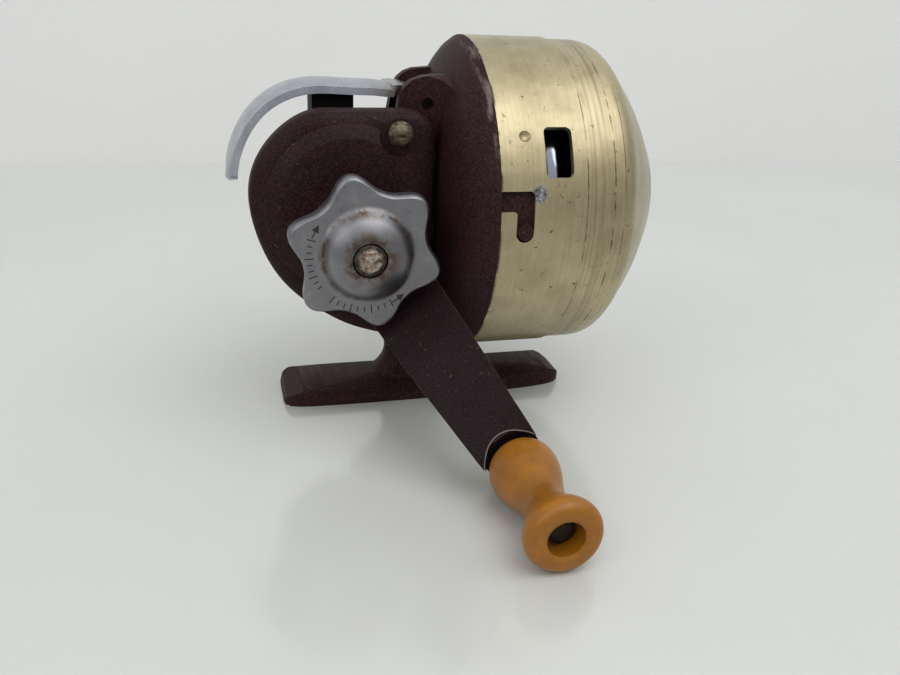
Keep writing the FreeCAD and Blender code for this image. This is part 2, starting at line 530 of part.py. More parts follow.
coil_r = 2.25
wire_r = 0.28
turns = 5.0
length = 8.0
pitch = length / turns
helix = Part.makeHelix(pitch, length, coil_r)
helix.rotate(V(0, 0, 0), V(0, 1, 0), 90)
helix.translate(V(-17.75, 0, REEL_Z))
start = helix.Edges[0].valueAt(helix.Edges[0].FirstParameter)
tangent = helix.Edges[0].tangentAt(helix.Edges[0].FirstParameter)
ring_edge = Part.Wire(Part.makeCircle(wire_r, start, tangent))
spring = Part.Wire(helix.Edges).makePipeShell([ring_edge], True, True)
save("shaft_spring", spring)

head_curve = [(12.0, 27.6), (21.0, 27.6), (23.6, 27.0), (25.8, 25.4), (27.6, 22.6), (28.8, 18.0),
              (29.0, 12.0)]
head_back = [(27.8, 12.0), (27.6, 17.6), (26.5, 21.8), (24.9, 24.4), (23.1, 25.7), (20.8, 26.3), (12.0, 26.3)]
head = revolve_x(head_curve + [(27.2, 8.0), (27.2, SLIDE_R), (19.0, SLIDE_R), (19.0, 4.6), (25.6, 4.6),
                               (26.0, 8.6)] + head_back)
head = head.cut(radial_pin(1.1, 90.0, 18.0, 20.0, 30.0))
save("spinner_head", head)
block = box(15.4, 20.6, -3.0, 3.0, REEL_Z + 20.2, REEL_Z + 27.0).common(rod_x(26.3, 10, 25))
block = block.cut(radial_pin(1.05, 90.0, 18.0, 15.0, 30.0))
save("pickup_guide", block)
save("pickup_pin", radial_pin(1.0, 90.0, 18.0, 18.6, 29.4).fuse(radial_pin(1.9, 90.0, 18.0, 17.6, 18.6)))
hexa = []
for k in range(6):
    a = math.radians(60 * k)
    hexa.append((27.2, 4.2 * math.cos(a), REEL_Z + 4.2 * math.sin(a)))
nut = face(edges(hexa)).extrude(V(2.3, 0, 0)).cut(rod_x(SLIDE_R, 20, 32))
save("spinner_nut", nut)
print("done")
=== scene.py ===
# %% [markdown]
# # A closed-face fishing reel
# This lesson dresses a finished mechanical model of an old closed-face reel: a maroon enamelled casting, a
# spun gold cover, a cast star wheel, a long crank with an amber plastic knob and a curved thumb lever. The
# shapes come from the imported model. What is left for Blender is smooth shading, edges that catch the light,
# and surfaces that tell the eye what each piece is made of and how long it has been used.

# %% Load the frame
import json
import math

import bmesh
import bpy
from mathutils import Matrix, Vector


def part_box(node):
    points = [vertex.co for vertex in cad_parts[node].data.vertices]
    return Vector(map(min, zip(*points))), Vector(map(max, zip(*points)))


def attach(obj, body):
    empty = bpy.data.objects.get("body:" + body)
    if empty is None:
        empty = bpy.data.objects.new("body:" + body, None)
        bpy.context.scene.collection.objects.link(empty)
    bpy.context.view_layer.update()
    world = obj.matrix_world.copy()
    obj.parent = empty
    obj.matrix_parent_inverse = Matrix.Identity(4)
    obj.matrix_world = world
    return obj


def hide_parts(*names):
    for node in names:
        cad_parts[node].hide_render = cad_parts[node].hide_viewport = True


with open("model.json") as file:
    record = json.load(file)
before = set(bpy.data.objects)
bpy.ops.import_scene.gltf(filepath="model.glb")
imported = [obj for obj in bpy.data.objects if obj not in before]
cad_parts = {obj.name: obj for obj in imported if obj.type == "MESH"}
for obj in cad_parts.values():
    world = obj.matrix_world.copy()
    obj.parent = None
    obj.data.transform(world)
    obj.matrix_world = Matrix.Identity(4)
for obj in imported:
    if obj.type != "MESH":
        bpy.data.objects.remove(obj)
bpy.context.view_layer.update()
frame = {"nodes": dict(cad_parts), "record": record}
nodes = frame["nodes"]
print("pieces in the frame:", len(nodes))

# %% [markdown]
# The camera stands to the crank side, a little behind the reel and above it, and looks slightly down. Its
# place and its three directions are fixed first, so that every later look is judged from one view.

# %% Camera
MM = 0.001
CAMERA_AT_MM = Vector((-45.3, -180.4, 90.7))
LENS_MM = 34.0
SENSOR_MM = 36.0

look = Vector((0.252, 0.886, -0.390)).normalized()
right = Vector((0.966, -0.255, 0.046))
right = (right - look * right.dot(look)).normalized()
up = right.cross(look).normalized()

camera_data = bpy.data.cameras.new("camera")
camera_data.sensor_width = SENSOR_MM
camera_data.lens = LENS_MM
camera_data.clip_start = 0.01
camera = bpy.data.objects.new("camera", camera_data)
bpy.context.collection.objects.link(camera)
turn = Matrix((right, up, -look)).transposed().to_4x4()
camera.matrix_world = Matrix.Translation(CAMERA_AT_MM * MM) @ turn
bpy.context.scene.camera = camera
bpy.context.scene.view_settings.view_transform = "Standard"
print("camera", round(CAMERA_AT_MM.length), "mm from the middle of the foot")

# %% [markdown]
# Several finishes need the axis of the reel, the axis of the crank or the axis of the knob. They are read
# from the frame, so a pattern that goes round an axis stays on it.

# %% Axes of the reel
low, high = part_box("centre_shaft")
REEL_Z = (low.z + high.z) / 2
low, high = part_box("crank_shaft")
CRANK_X = (low.x + high.x) / 2
CRANK_Z = (low.z + high.z) / 2
low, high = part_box("crank_knob")
KNOB_X = (low.x + high.x) / 2
KNOB_Z = (low.z + high.z) / 2
KNOB_IN = high.y
KNOB_OUT = low.y
print("reel axis", round(REEL_Z, 4), "crank axis", round(CRANK_X, 4), round(CRANK_Z, 4))

# %% [markdown]
# Small tools come next. `ink` turns an sRGB hex colour into the linear numbers that shaders use. `add` puts
# one node into a material, with its settings, its values and its links. `new_finish` starts a material,
# `stops` fills a colour ramp, `from_axis` measures how far a point is from an axis, and `plug` joins the
# finished colour, roughness and bump to the shader.

# %% Colour and node helpers
def ink(code):
    """Linear colour from an sRGB hex code."""
    parts = [int(code[i:i + 2], 16) / 255 for i in (1, 3, 5)]
    return [p / 12.92 if p <= 0.04045 else ((p + 0.055) / 1.055) ** 2.4 for p in parts] + [1.0]


def add(tree, kind, values=None, links=None, **settings):
    """One node, with its settings, socket values and links."""
    made = tree.nodes.new(kind)
    for name, value in settings.items():
        setattr(made, name, value)
    for socket, value in (values or {}).items():
        made.inputs[socket].default_value = value
    for socket, source in (links or {}).items():
        tree.links.new(source, made.inputs[socket])
    return made


def new_finish(name, **values):
    """A material with its Principled shader, and the object's own coordinates."""
    finish = bpy.data.materials.new(name)
    finish.use_nodes = True
    tree = finish.node_tree
    shader = tree.nodes["Principled BSDF"]
    for socket, value in values.items():
        shader.inputs[socket.replace("_", " ")].default_value = value
    place = tree.nodes.new("ShaderNodeTexCoord").outputs["Object"]
    return finish, tree, shader, place


def stops(ramp, *pairs):
    """Positions and grey levels or colours of a colour ramp."""
    line = ramp.color_ramp.elements
    while len(line) < len(pairs):
        line.new(0.5)
    for element, (where, what) in zip(line, pairs):
        element.position = where
        element.color = what if isinstance(what, (list, tuple)) else (what, what, what, 1.0)
    return ramp


ROUND_REEL = (0.0, 1.0, 1.0)
ROUND_CRANK = (1.0, 0.0, 1.0)


def from_axis(tree, place, centre, across):
    """The place measured from an axis, and the distance from that axis; `across` is 0 along the axis."""
    moved = add(tree, "ShaderNodeMapping", {"Location": [-c for c in centre]}, {"Vector": place}).outputs[0]
    flat = add(tree, "ShaderNodeVectorMath", {1: across}, {0: moved}, operation="MULTIPLY")
    away = add(tree, "ShaderNodeVectorMath", links={0: flat.outputs[0]}, operation="LENGTH")
    return moved, away.outputs["Value"]


def plug(tree, shader, colour, roughness, normal):
    """Join a finish's colour, roughness and bump to its shader."""
    tree.links.new(colour, shader.inputs["Base Color"])
    tree.links.new(roughness.outputs[0], shader.inputs["Roughness"])
    tree.links.new(normal.outputs[0], shader.inputs["Normal"])


print("black is", ink("#000000")[:3], "and white is", ink("#FFFFFF")[:3])

# %% [markdown]
# ## Enamel
# The casting, side plate and crank arm are baked enamel over die-cast aluminium. The enamel is a dark
# maroon with fine lighter flecks in it, like a spatter finish. The flecks are about 0.4 mm; they are drawn
# with noise whose scale is one over that size. Dust and age leave it half glossy, so the roughness wanders
# and the clear top coat is thin. Two kinds of pale marks are added where a piece needs them: the top of the
# bowl's rim is paler near the cover, partly rubbed wear and partly a painted highlight, and a hair-thin bare
# ring runs round the knob's seat on the arm.

# %% Wear on the enamel, and a painted highlight on the rim
RIM_FROM = 31.6 * MM
RIM_TO = 32.9 * MM
SEAT_RADIUS = 7.0 * MM


def rim_rubs_and_painted_highlight(tree, place, below):
    """Pale patches on the top of the bowl's rim, partly rubbed and partly a painted highlight, drawn out
    round the reel, over the colour below.
    """
    centred, away = from_axis(tree, place, (0.0, 0.0, REEL_Z), ROUND_REEL)
    edge = add(tree, "ShaderNodeMapRange", {1: RIM_FROM, 2: RIM_TO}, {0: away})
    along = add(tree, "ShaderNodeSeparateXYZ", links={0: place})
    near_cover = add(tree, "ShaderNodeMapRange", {1: 3.2 * MM, 2: 4.4 * MM}, {0: along.outputs["X"]})
    # the pale patches are kept to the top of the rim, where the light falls: this part is a painted
    # highlight, the rest rubbed wear
    top_half = add(tree, "ShaderNodeMapRange", {1: 52.0 * MM, 2: 60.0 * MM}, {0: along.outputs["Z"]})
    clear_of_seam = add(tree, "ShaderNodeMath", {1: 5.3 * MM}, {0: along.outputs["X"]}, operation="LESS_THAN")
    for limit in (near_cover, top_half, clear_of_seam):
        edge = add(tree, "ShaderNodeMath", links={0: edge.outputs[0], 1: limit.outputs[0]},
                   operation="MULTIPLY")
    turned = add(tree, "ShaderNodeSeparateXYZ", links={0: centred})
    angle = add(tree, "ShaderNodeMath", links={0: turned.outputs["Z"], 1: turned.outputs["Y"]},
                operation="ARCTAN2")
    round_part = add(tree, "ShaderNodeMath", {1: 4.0}, {0: angle.outputs[0]}, operation="MULTIPLY")
    out_part = add(tree, "ShaderNodeMath", {1: 1 / (1.6 * MM)}, {0: away}, operation="MULTIPLY")
    rim_map = add(tree, "ShaderNodeCombineXYZ", links={0: round_part.outputs[0], 1: out_part.outputs[0]})
    patch = add(tree, "ShaderNodeTexNoise", {"Scale": 1.0, "Detail": 6.0, "Roughness": 0.7},
                {"Vector": rim_map.outputs[0]})
    patch_mask = stops(add(tree, "ShaderNodeValToRGB", links={"Fac": patch.outputs["Fac"]}),
                       (0.50, 0.0), (0.62, 0.8))
    rubbed = add(tree, "ShaderNodeMath", links={0: edge.outputs[0], 1: patch_mask.outputs["Color"]},
                 operation="MULTIPLY")
    return add(tree, "ShaderNodeMix", {7: ink("#857672")}, {0: rubbed.outputs[0], 6: below},
               data_type="RGBA").outputs[2]


def bared_ring(tree, place, below):
    """A hair-thin bare ring round the knob's seat, over the colour below."""
    from_knob = from_axis(tree, place, (KNOB_X, 0.0, KNOB_Z), ROUND_CRANK)[1]
    past = add(tree, "ShaderNodeMath", {1: SEAT_RADIUS}, {0: from_knob}, operation="SUBTRACT")
    beside = add(tree, "ShaderNodeMath", links={0: past.outputs[0]}, operation="ABSOLUTE")
    line = add(tree, "ShaderNodeMapRange", {1: 0.03 * MM, 2: 0.12 * MM, 3: 0.75, 4: 0.0},
               {0: beside.outputs[0]})
    return add(tree, "ShaderNodeMix", {7: ink("#8E8280")}, {0: line.outputs[0], 6: below},
               data_type="RGBA").outputs[2]


print("rim rubs from", round(RIM_FROM / MM, 1), "mm out, seat ring at", round(SEAT_RADIUS / MM, 1), "mm")

# %% [markdown]
# The enamel itself is one function, because three pieces take it in three tones: the casting is the palest,
# the side plate is darker and the arm is the darkest. The darker plate and arm are copies of the one enamel,
# a painted shade for how the light falls on them. Two deep tones drift in clouds, the flecks lie over them,
# and a few grains of dust lie over the flecks. The arm's rounded edge gets a finish of its own, where the
# enamel has rubbed thin.

# %% Enamel finish
FLECK = 0.42 * MM
DUST = 0.55 * MM
CLOUD = 9.0 * MM


def enamel(name, deep, middle, pale, wear_and_highlight=None):
    """Spattered enamel in three tones, with one pale mark where asked: rubbed paint, and on the casting's rim
    partly a painted highlight.
    """
    finish, tree, shader, place = new_finish(name, Roughness=0.5, Specular_IOR_Level=0.1, Coat_Weight=0.03,
                                             Coat_Roughness=0.25)
    fleck = add(tree, "ShaderNodeTexNoise", {"Scale": 1 / FLECK, "Detail": 2.0, "Roughness": 0.7},
                {"Vector": place})
    fleck_mask = stops(add(tree, "ShaderNodeValToRGB", links={"Fac": fleck.outputs["Fac"]}),
                       (0.40, 0.0), (0.72, 1.0))
    cloud = add(tree, "ShaderNodeTexNoise", {"Scale": 1 / CLOUD, "Detail": 3.0}, {"Vector": place})
    ground = add(tree, "ShaderNodeMix", {6: ink(deep), 7: ink(middle)}, {0: cloud.outputs["Fac"]},
                 data_type="RGBA")
    colour = add(tree, "ShaderNodeMix", {7: ink(pale)},
                 {0: fleck_mask.outputs["Color"], 6: ground.outputs[2]}, data_type="RGBA")
    dust = add(tree, "ShaderNodeTexNoise", {"Scale": 1 / DUST, "Detail": 1.0}, {"Vector": place})
    dust_mask = stops(add(tree, "ShaderNodeValToRGB", links={"Fac": dust.outputs["Fac"]}),
                      (0.72, 0.0), (0.80, 0.35))
    dusty = add(tree, "ShaderNodeMix", {7: ink("#8C6F66")},
                {0: dust_mask.outputs["Color"], 6: colour.outputs[2]}, data_type="RGBA")
    shown = dusty.outputs[2]
    if wear_and_highlight:
        shown = wear_and_highlight(tree, place, shown)
    gloss = add(tree, "ShaderNodeMapRange", {3: 0.42, 4: 0.62}, {0: cloud.outputs["Fac"]})
    grain = add(tree, "ShaderNodeBump", {"Strength": 0.12, "Distance": 0.06 * MM},
                {"Height": fleck.outputs["Fac"]})
    plug(tree, shader, shown, gloss, grain)
    return finish


casting_enamel = enamel("maroon_enamel_on_casting", "#1D1112", "#281717", "#482C2E", rim_rubs_and_painted_highlight)
# the plate and the arm take darker copies of the casting's enamel: a painted shade for how the light falls on
# them
plate_enamel_painted_darker = enamel("maroon_enamel_on_plate_painted_darker", "#190E0F", "#221314", "#3E2527")
arm_enamel_painted_darker = enamel("maroon_enamel_on_arm_painted_darker", "#160C0E", "#1B0F11", "#2B1A1E", bared_ring)

# the arm's rounded edge, where the enamel has rubbed thin in patches about 5 mm long
worn_edge, tree, shader, place = new_finish("enamel_rubbed_thin_on_edges", Roughness=0.4, Metallic=0.2)
patch = add(tree, "ShaderNodeTexNoise", {"Scale": 1 / (5.0 * MM), "Detail": 5.0, "Roughness": 0.7},
            {"Vector": place})
bared = stops(add(tree, "ShaderNodeValToRGB", links={"Fac": patch.outputs["Fac"]}),
              (0.40, ink("#4A3A3B")), (0.60, ink("#A0938F")))
tree.links.new(bared.outputs["Color"], shader.inputs["Base Color"])
print("enamel made with flecks of", round(FLECK / MM, 2), "mm")

# %% [markdown]
# ## Spun gold cover
# The cover is an aluminium spinning, brushed as it turned on the lathe and then anodised pale gold. The
# brush marks run round the reel axis. To draw them, the angle round the axis and the distance along it feed
# a stretched noise: very fine along the axis (about 0.3 mm), long round it. The angle is counted from the
# far side, so that the seam where it jumps from one end to the other stays hidden. A clear coat stands for
# the hard anodised skin, which whitens the highlights.

# %% Gold: lathe marks and film
BRUSH = 0.30 * MM
FILM = 14.0 * MM
PIT = 2.0 * MM

gold, tree, shader, place = new_finish("gold_anodised_spun_aluminium", Metallic=1.0, Coat_Weight=0.45,
                                       Coat_Roughness=0.22)
centred, away = from_axis(tree, place, (0.0, 0.0, REEL_Z), ROUND_REEL)
split = add(tree, "ShaderNodeSeparateXYZ", links={0: centred})
facing = add(tree, "ShaderNodeMath", {1: -1.0}, {0: split.outputs["Y"]}, operation="MULTIPLY")
angle = add(tree, "ShaderNodeMath", links={0: split.outputs["Z"], 1: facing.outputs[0]}, operation="ARCTAN2")
round_part = add(tree, "ShaderNodeMath", {1: 1.6}, {0: angle.outputs[0]}, operation="MULTIPLY")
along = add(tree, "ShaderNodeMath", {1: 1 / BRUSH}, {0: split.outputs["X"]}, operation="MULTIPLY")
inward = add(tree, "ShaderNodeMath", {1: 1 / BRUSH}, {0: away}, operation="MULTIPLY")
lathe = add(tree, "ShaderNodeCombineXYZ",
            links={0: along.outputs[0], 1: round_part.outputs[0], 2: inward.outputs[0]})
brush = add(tree, "ShaderNodeTexNoise", {"Scale": 1.0, "Detail": 3.0, "Roughness": 0.6},
            {"Vector": lathe.outputs[0]})
film = add(tree, "ShaderNodeTexNoise", {"Scale": 1 / FILM, "Detail": 5.0, "Roughness": 0.65},
           {"Vector": place})
brushed = stops(add(tree, "ShaderNodeValToRGB", links={"Fac": brush.outputs["Fac"]}),
                (0.30, ink("#AEA280")), (0.72, ink("#BDB18E")))
film_mask = stops(add(tree, "ShaderNodeValToRGB", links={"Fac": film.outputs["Fac"]}),
                  (0.46, 0.0), (0.70, 0.55))
dulled = add(tree, "ShaderNodeMix", {7: ink("#8A7D59")},
             {0: film_mask.outputs["Color"], 6: brushed.outputs["Color"]}, data_type="RGBA")
pit = add(tree, "ShaderNodeTexNoise", {"Scale": 1 / PIT, "Detail": 6.0, "Roughness": 0.8}, {"Vector": place})
pit_mask = stops(add(tree, "ShaderNodeValToRGB", links={"Fac": pit.outputs["Fac"]}),
                 (0.62, 0.0), (0.65, 0.9))
pitted = add(tree, "ShaderNodeMix", {7: ink("#3A3225")},
             {0: pit_mask.outputs["Color"], 6: dulled.outputs[2]}, data_type="RGBA")
gold_shown = pitted.outputs[2]
print("brush marks of", round(BRUSH / MM, 2), "mm, pits of up to", round(PIT / MM, 1), "mm")

# %% [markdown]
# The cover's age is laid over that, one layer at a time. Dark lines sit in the turned lines and at the seam
# by the bowl's rim, partly dirt and partly a painted shade in those corners; a brownish darker band runs
# round between the step and the dome, partly smears and partly a painted shade; the slot's corner is chewed
# bare, and a few long scratches go round. Each layer is a mask that mixes one darker colour into what is
# there.

# %% Gold: dirt and painted shade, smears, bare corner and scratches
DIRT_AND_SHADE_LINES_MM = ((5.45, 0.22), (22.95, 0.16), (28.7, 0.14), (30.9, 0.07))
SLOT_CORNER = (12.9 * MM, -32.6 * MM, 53.9 * MM)
BARE_REACH = 3.3 * MM

smear = add(tree, "ShaderNodeTexNoise", {"Scale": 1 / (7.0 * MM), "Detail": 4.0, "Roughness": 0.7},
            {"Vector": place})
held = stops(add(tree, "ShaderNodeValToRGB", links={"Fac": smear.outputs["Fac"]}), (0.44, 0.0), (0.56, 0.9))
# dark lines at the steps and at the seam by the bowl: partly dirt, partly a painted shade in the corners
for line_mm, half_mm in DIRT_AND_SHADE_LINES_MM:
    offset = add(tree, "ShaderNodeMath", {1: line_mm * MM}, {0: split.outputs["X"]}, operation="SUBTRACT")
    distance = add(tree, "ShaderNodeMath", links={0: offset.outputs[0]}, operation="ABSOLUTE")
    band = add(tree, "ShaderNodeMapRange", {1: half_mm * MM * 0.5, 2: half_mm * MM * 1.6, 3: 1.0, 4: 0.0},
               {0: distance.outputs[0]})
    dirt = add(tree, "ShaderNodeMath", links={0: band.outputs[0], 1: held.outputs["Color"]},
               operation="MULTIPLY")
    gold_shown = add(tree, "ShaderNodeMix", {7: ink("#4A4130")}, {0: dirt.outputs[0], 6: gold_shown},
                     data_type="RGBA").outputs[2]

# between the step and the dome the gold is darkened brownish: partly smears, partly a painted shade across
# that band
band_map = add(tree, "ShaderNodeCombineXYZ", links={0: along.outputs[0], 1: round_part.outputs[0]})
rubbed = add(tree, "ShaderNodeTexNoise", {"Scale": 0.35, "Detail": 4.0, "Roughness": 0.7},
             {"Vector": band_map.outputs[0]})
streak = stops(add(tree, "ShaderNodeValToRGB", links={"Fac": rubbed.outputs["Fac"]}),
               (0.46, 0.0), (0.66, 0.75))
begins = add(tree, "ShaderNodeMapRange", {1: 22.6 * MM, 2: 24.4 * MM}, {0: split.outputs["X"]})
ends = add(tree, "ShaderNodeMapRange", {1: 28.6 * MM, 2: 30.4 * MM, 3: 1.0, 4: 0.0}, {0: split.outputs["X"]})
smear_and_shade_band = add(tree, "ShaderNodeMath", links={0: begins.outputs[0], 1: ends.outputs[0]}, operation="MULTIPLY")
brown = add(tree, "ShaderNodeMath", links={0: smear_and_shade_band.outputs[0], 1: streak.outputs["Color"]},
            operation="MULTIPLY")
gold_shown = add(tree, "ShaderNodeMix", {7: ink("#857459")}, {0: brown.outputs[0], 6: gold_shown},
                 data_type="RGBA").outputs[2]

# the lug has chewed the slot's corner: a bare grey patch about 3 mm across with a ragged edge
bare_at = add(tree, "ShaderNodeVectorMath", {1: SLOT_CORNER}, {0: place}, operation="DISTANCE")
ragged = add(tree, "ShaderNodeTexNoise", {"Scale": 1 / (0.8 * MM), "Detail": 4.0, "Roughness": 0.75},
             {"Vector": place})
reach = add(tree, "ShaderNodeMath", {1: BARE_REACH}, {0: ragged.outputs["Fac"]}, operation="MULTIPLY")
bare = add(tree, "ShaderNodeMath", links={0: bare_at.outputs["Value"], 1: reach.outputs[0]},
           operation="LESS_THAN")
grey = stops(add(tree, "ShaderNodeValToRGB", links={"Fac": ragged.outputs["Fac"]}),
             (0.42, ink("#4C4A48")), (0.60, ink("#B9BCC2")))
gold_shown = add(tree, "ShaderNodeMix", links={0: bare.outputs[0], 6: gold_shown, 7: grey.outputs["Color"]},
                 data_type="RGBA").outputs[2]

scratch_map = add(tree, "ShaderNodeCombineXYZ",
                  links={0: along.outputs[0], 1: angle.outputs[0], 2: inward.outputs[0]})
scratch = add(tree, "ShaderNodeTexNoise", {"Scale": 0.55, "Detail": 2.0, "Roughness": 0.5},
              {"Vector": scratch_map.outputs[0]})
cut = stops(add(tree, "ShaderNodeValToRGB", links={"Fac": scratch.outputs["Fac"]}), (0.70, 0.0), (0.76, 0.6))
cut_here = add(tree, "ShaderNodeMath", links={0: cut.outputs["Color"], 1: held.outputs["Color"]},
               operation="MULTIPLY")
gold_shown = add(tree, "ShaderNodeMix", {7: ink("#5E543C")}, {0: cut_here.outputs[0], 6: gold_shown},
                 data_type="RGBA").outputs[2]

dull = add(tree, "ShaderNodeMapRange", {3: 0.38, 4: 0.54}, {0: film.outputs["Fac"]})
height = add(tree, "ShaderNodeMath", links={0: brush.outputs["Fac"], 1: pit_mask.outputs["Color"]},
             operation="SUBTRACT")
lines = add(tree, "ShaderNodeBump", {"Strength": 0.22, "Distance": 0.02 * MM}, {"Height": height.outputs[0]})
plug(tree, shader, gold_shown, dull, lines)
print("gold nodes:", len(tree.nodes))

# %% [markdown]
# ## Cast aluminium star
# The star is a raw aluminium casting, turned on its face and never coated. Handling darkens it: a grey
# oxide film everywhere, and a brown stain round the shaft and in the ring where the boss rises, where
# fingers never reach. The stain is drawn by distance from the crank axis, broken up with noise.

# %% Star finish
STAIN_FROM = 3.2 * MM
STAIN_TO = 11.2 * MM

star_metal, tree, shader, place = new_finish("tarnished_cast_aluminium", Metallic=1.0, Roughness=0.4)
away = from_axis(tree, place, (CRANK_X, 0.0, CRANK_Z), ROUND_CRANK)[1]
cloud = add(tree, "ShaderNodeTexNoise", {"Scale": 1 / (3.2 * MM), "Detail": 6.0, "Roughness": 0.7},
            {"Vector": place})
fine = add(tree, "ShaderNodeTexNoise", {"Scale": 1 / (0.5 * MM), "Detail": 3.0, "Roughness": 0.7},
           {"Vector": place})
oxide = stops(add(tree, "ShaderNodeValToRGB", links={"Fac": cloud.outputs["Fac"]}),
              (0.32, ink("#75767A")), (0.66, ink("#A6A8AF")))
outward = add(tree, "ShaderNodeMapRange", {1: STAIN_FROM, 2: STAIN_TO}, {0: away})
ring = stops(add(tree, "ShaderNodeValToRGB", links={"Fac": outward.outputs[0]}),
             (0.0, 1.0), (0.14, 0.85), (0.5, 0.30), (0.66, 1.0), (0.80, 0.30))
spread = stops(add(tree, "ShaderNodeValToRGB", links={"Fac": cloud.outputs["Fac"]}),
               (0.38, 0.0), (0.56, 1.0))
stain = add(tree, "ShaderNodeMath", links={0: ring.outputs["Color"], 1: spread.outputs["Color"]},
            operation="MULTIPLY")
stained = add(tree, "ShaderNodeMix", {7: ink("#574433")}, {0: stain.outputs[0], 6: oxide.outputs["Color"]},
              data_type="RGBA")
spot = stops(add(tree, "ShaderNodeValToRGB", links={"Fac": fine.outputs["Fac"]}), (0.66, 0.0), (0.74, 0.75))
spotted = add(tree, "ShaderNodeMix", {7: ink("#4A4038")}, {0: spot.outputs["Color"], 6: stained.outputs[2]},
              data_type="RGBA")
rough = add(tree, "ShaderNodeMapRange", {3: 0.30, 4: 0.55}, {0: cloud.outputs["Fac"]})
skin = add(tree, "ShaderNodeBump", {"Strength": 0.3, "Distance": 0.06 * MM}, {"Height": fine.outputs["Fac"]})
plug(tree, shader, spotted.outputs[2], rough, skin)
print("star stained from", round(STAIN_FROM / MM, 1), "to", round(STAIN_TO / MM, 1), "mm round the shaft")

# %% [markdown]
# ## Satin lever
# The thumb lever is a bent aluminium strip with a satin face, polished by the thumb. Fine scratches run
# along it, which is mostly front to back, so the noise is squeezed across the strip. Near its pivot, where
# it goes in between the lugs, it is stained brown.

# %% Lever finish
SCRATCH_SCALE = (60.0, 2600.0, 60.0)
PIVOT_STAIN_MM = (-16.0, -10.5)

lever_metal, tree, shader, place = new_finish("satin_aluminium_strip", Metallic=1.0, Roughness=0.3)
squeeze = add(tree, "ShaderNodeMapping", {"Scale": SCRATCH_SCALE}, {"Vector": place})
scratch = add(tree, "ShaderNodeTexNoise", {"Scale": 1.0, "Detail": 3.0, "Roughness": 0.6},
              {"Vector": squeeze.outputs[0]})
cloud = add(tree, "ShaderNodeTexNoise", {"Scale": 1 / (5.0 * MM), "Detail": 5.0, "Roughness": 0.65},
            {"Vector": place})
tone = stops(add(tree, "ShaderNodeValToRGB", links={"Fac": cloud.outputs["Fac"]}),
             (0.30, ink("#9A9CA4")), (0.70, ink("#BFC2CD")))
along = add(tree, "ShaderNodeSeparateXYZ", links={0: place})
at_pivot = add(tree, "ShaderNodeMapRange",
               {1: PIVOT_STAIN_MM[0] * MM, 2: PIVOT_STAIN_MM[1] * MM, 3: 0.0, 4: 1.0},
               {0: along.outputs["X"]})
settled = stops(add(tree, "ShaderNodeValToRGB", links={"Fac": cloud.outputs["Fac"]}),
                (0.40, 0.1), (0.58, 0.85))
stain = add(tree, "ShaderNodeMath", links={0: at_pivot.outputs[0], 1: settled.outputs["Color"]},
            operation="MULTIPLY")
stained = add(tree, "ShaderNodeMix", {7: ink("#6B5E4C")}, {0: stain.outputs[0], 6: tone.outputs["Color"]},
              data_type="RGBA")
rough = add(tree, "ShaderNodeMapRange", {3: 0.20, 4: 0.32}, {0: cloud.outputs["Fac"]})
lines = add(tree, "ShaderNodeBump", {"Strength": 0.25, "Distance": 0.03 * MM},
            {"Height": scratch.outputs["Fac"]})
plug(tree, shader, stained.outputs[2], rough, lines)
print("lever stained for the last", round(PIVOT_STAIN_MM[1] - PIVOT_STAIN_MM[0], 1), "mm before its lugs")

# %% [markdown]
# ## Amber knob
# The knob is a moulded cast-resin plastic of a butterscotch amber. A little light goes into it, so it has
# some subsurface scattering, and its surface is glossy with fine scuffs. Dirt sits in the waist, where the
# hand never wipes it: a band of distance along the knob's axis, broken with noise.

# %% Knob finish
amber, tree, shader, place = new_finish("butterscotch_moulded_resin", Roughness=0.34, Specular_IOR_Level=0.32,
                                        Subsurface_Weight=0.12, Subsurface_Scale=4.0 * MM, Coat_Weight=0.25,
                                        Coat_Roughness=0.15)
shader.inputs["Subsurface Radius"].default_value = (1.0, 0.45, 0.12)
split = add(tree, "ShaderNodeSeparateXYZ", links={0: place})
cloud = add(tree, "ShaderNodeTexNoise", {"Scale": 1 / (4.5 * MM), "Detail": 5.0, "Roughness": 0.65},
            {"Vector": place})
fine = add(tree, "ShaderNodeTexNoise", {"Scale": 1 / (0.7 * MM), "Detail": 3.0, "Roughness": 0.7},
           {"Vector": place})
resin = stops(add(tree, "ShaderNodeValToRGB", links={"Fac": cloud.outputs["Fac"]}),
              (0.32, ink("#8C5810")), (0.70, ink("#A56B15")))
outward = add(tree, "ShaderNodeMapRange", {1: KNOB_IN, 2: KNOB_OUT}, {0: split.outputs["Y"]})
waist = stops(add(tree, "ShaderNodeValToRGB", links={"Fac": outward.outputs[0]}),
              (0.0, 0.55), (0.10, 0.0), (0.42, 0.0), (0.56, 0.75), (0.68, 0.55), (0.80, 0.0))
grime = stops(add(tree, "ShaderNodeValToRGB", links={"Fac": cloud.outputs["Fac"]}), (0.40, 0.0), (0.62, 1.0))
dirt = add(tree, "ShaderNodeMath", links={0: waist.outputs["Color"], 1: grime.outputs["Color"]},
           operation="MULTIPLY")
dirty = add(tree, "ShaderNodeMix", {7: ink("#6A4016")}, {0: dirt.outputs[0], 6: resin.outputs["Color"]},
            data_type="RGBA")
speck = stops(add(tree, "ShaderNodeValToRGB", links={"Fac": fine.outputs["Fac"]}), (0.69, 0.0), (0.76, 0.5))
specked = add(tree, "ShaderNodeMix", {7: ink("#5B3812")}, {0: speck.outputs["Color"], 6: dirty.outputs[2]},
              data_type="RGBA")
rough = add(tree, "ShaderNodeMapRange", {3: 0.36, 4: 0.56}, {0: cloud.outputs["Fac"]})
scuff = add(tree, "ShaderNodeBump", {"Strength": 0.12, "Distance": 0.04 * MM},
            {"Height": fine.outputs["Fac"]})
